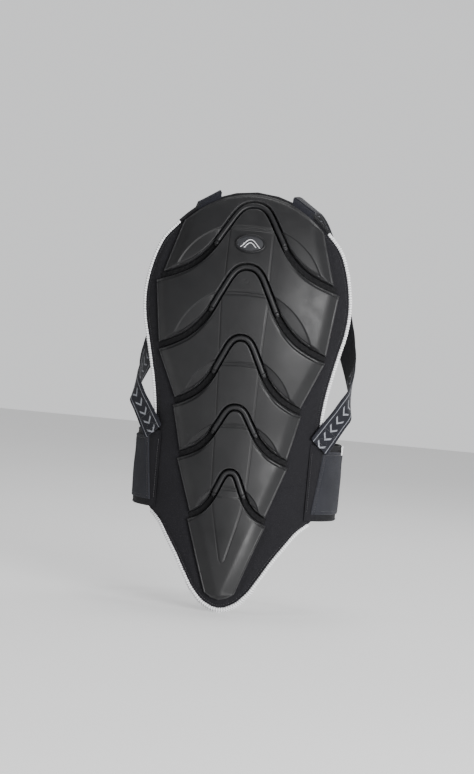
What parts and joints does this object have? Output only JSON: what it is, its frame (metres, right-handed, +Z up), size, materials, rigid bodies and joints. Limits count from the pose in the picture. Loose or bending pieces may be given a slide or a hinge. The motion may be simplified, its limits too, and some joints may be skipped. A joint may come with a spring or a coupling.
{
  "type": "motorcycle back protector",
  "caption": "Worn back protector: arched hard plates with flexible ribs on a soft-shell carrier, foam cores, reflective piping, shoulder straps and a waist belt.",
  "frame": {"origin": "on the lining against the wearer's spine, at half the height of the back panel", "axes": "+Z up along the spine as worn; +Y forwards, towards the wearer's chest; +X to the wearer's right; the hard plates face -Y"},
  "size_m": [0.3226, 0.2508, 0.5992],
  "materials": {
    "plate_plastic": "satin moulded",
    "rib_rubber": "matt",
    "softshell": "fine soft-shell knit",
    "spacer_mesh": "open spacer mesh",
    "impact_foam": "closed-cell foam",
    "reflective_piping": "braided, reflective",
    "binding": "folded tape",
    "elastic": "ribbed elastic",
    "strap_webbing": "woven",
    "hook_and_loop": "napped",
    "label": "satin woven",
    "badge_rubber": "moulded"
  },
  "bodies": {
    "collar_segment": {"lining_1": "spacer_mesh", "carrier_1": "softshell", "foam_core_1": "impact_foam", "plate_1": "plate_plastic", "arch_rib_1": "rib_rubber", "piping_left_1": "reflective_piping", "piping_right_1": "reflective_piping", "collar_binding": "binding", "shoulder_strap_left": "strap_webbing", "shoulder_strap_right": "strap_webbing"},
    "shoulder_segment": {"lining_2": "spacer_mesh", "carrier_2": "softshell", "foam_core_2": "impact_foam", "plate_2": "plate_plastic", "arch_rib_2": "rib_rubber", "piping_left_2": "reflective_piping", "piping_right_2": "reflective_piping", "badge": "badge_rubber"},
    "thoracic_segment": {"lining_3": "spacer_mesh", "carrier_3": "softshell", "foam_core_3": "impact_foam", "plate_3": "plate_plastic", "arch_rib_3": "rib_rubber", "piping_left_3": "reflective_piping", "piping_right_3": "reflective_piping"},
    "mid_segment": {"lining_4": "spacer_mesh", "carrier_4": "softshell", "foam_core_4": "impact_foam", "plate_4": "plate_plastic", "arch_rib_4": "rib_rubber", "piping_left_4": "reflective_piping", "piping_right_4": "reflective_piping"},
    "lumbar_segment": {"lining_5": "spacer_mesh", "carrier_5": "softshell", "foam_core_5": "impact_foam", "plate_5": "plate_plastic", "arch_rib_5": "rib_rubber", "belt_seam_left": "softshell", "belt_seam_right": "softshell", "side_strap_left": "strap_webbing", "side_strap_right": "strap_webbing", "strap_elastic_left": "elastic", "strap_elastic_right": "elastic"},
    "tail_segment": {"lining_6": "spacer_mesh", "carrier_6": "softshell", "foam_core_6": "impact_foam", "plate_6": "plate_plastic", "piping_tail": "reflective_piping"},
    "belt_wing_right": {"belt_inner_right": "softshell", "belt_elastic_right": "elastic", "size_tag": "label"},
    "belt_wing_left": {"belt_inner_left": "softshell", "belt_elastic_left": "elastic", "closure_landing": "hook_and_loop"},
    "closure_flap": {"closure_tab": "hook_and_loop"},
    "tab_right": {"strap_tab_right": "hook_and_loop"},
    "tab_left": {"strap_tab_left": "hook_and_loop"}
  },
  "joints": [
    {"name": "spine_flex_collar", "type": "hinge", "parent": "shoulder_segment", "child": "collar_segment", "pos_m": [0, 0.01068, 0.22275], "axis": [-1, 0, 0], "range_deg": [-2.5, 5], "stiffness_Nm_per_rad": 4, "deforming": ["strap_elastic_left", "strap_elastic_right"]},
    {"name": "spine_flex_shoulder", "type": "hinge", "parent": "thoracic_segment", "child": "shoulder_segment", "pos_m": [0, -0.00432, 0.1305], "axis": [-1, 0, 0], "range_deg": [-2.5, 5], "stiffness_Nm_per_rad": 4, "deforming": ["strap_elastic_left", "strap_elastic_right"]},
    {"name": "spine_flex_thoracic", "type": "hinge", "parent": "mid_segment", "child": "thoracic_segment", "pos_m": [0, 0.00157, 0.043], "axis": [-1, 0, 0], "range_deg": [-2.5, 5], "stiffness_Nm_per_rad": 4, "deforming": ["strap_elastic_left", "strap_elastic_right"]},
    {"name": "spine_flex_mid", "type": "hinge", "parent": "lumbar_segment", "child": "mid_segment", "pos_m": [0, 0.01742, -0.044], "axis": [-1, 0, 0], "range_deg": [-2.5, 5], "stiffness_Nm_per_rad": 4, "deforming": ["strap_elastic_left", "strap_elastic_right"]},
    {"name": "spine_flex_tail", "type": "hinge", "parent": "lumbar_segment", "child": "tail_segment", "pos_m": [0, 0.01914, -0.1335], "axis": [1, 0, 0], "range_deg": [-2.5, 5], "stiffness_Nm_per_rad": 4},
    {"name": "belt_open_right", "type": "hinge", "parent": "lumbar_segment", "child": "belt_wing_right", "pos_m": [0.13998, 0.06176, -0.1065], "axis": [0, 0, -1], "range_deg": [0, 60]},
    {"name": "belt_open_left", "type": "hinge", "parent": "lumbar_segment", "child": "belt_wing_left", "pos_m": [-0.13998, 0.06176, -0.1065], "axis": [0, 0, 1], "range_deg": [0, 60]},
    {"name": "closure_peel", "type": "hinge", "parent": "belt_wing_right", "child": "closure_flap", "pos_m": [0.02178, 0.22137, -0.1065], "axis": [0, 0, -1], "range_deg": [0, 90]},
    {"name": "tab_peel_right", "type": "hinge", "parent": "lumbar_segment", "child": "tab_right", "pos_m": [0.14913, 0.04729, -0.00764], "axis": [-0.5492, -0.6514, 0.5235], "range_deg": [0, 75]},
    {"name": "tab_peel_left", "type": "hinge", "parent": "lumbar_segment", "child": "tab_left", "pos_m": [-0.14913, 0.04729, -0.00764], "axis": [-0.5492, 0.6514, -0.5235], "range_deg": [0, 75]}
  ],
  "couplings": [
    {"joint": "belt_open_left", "follows": "belt_open_right", "ratio": 1}
  ]
}
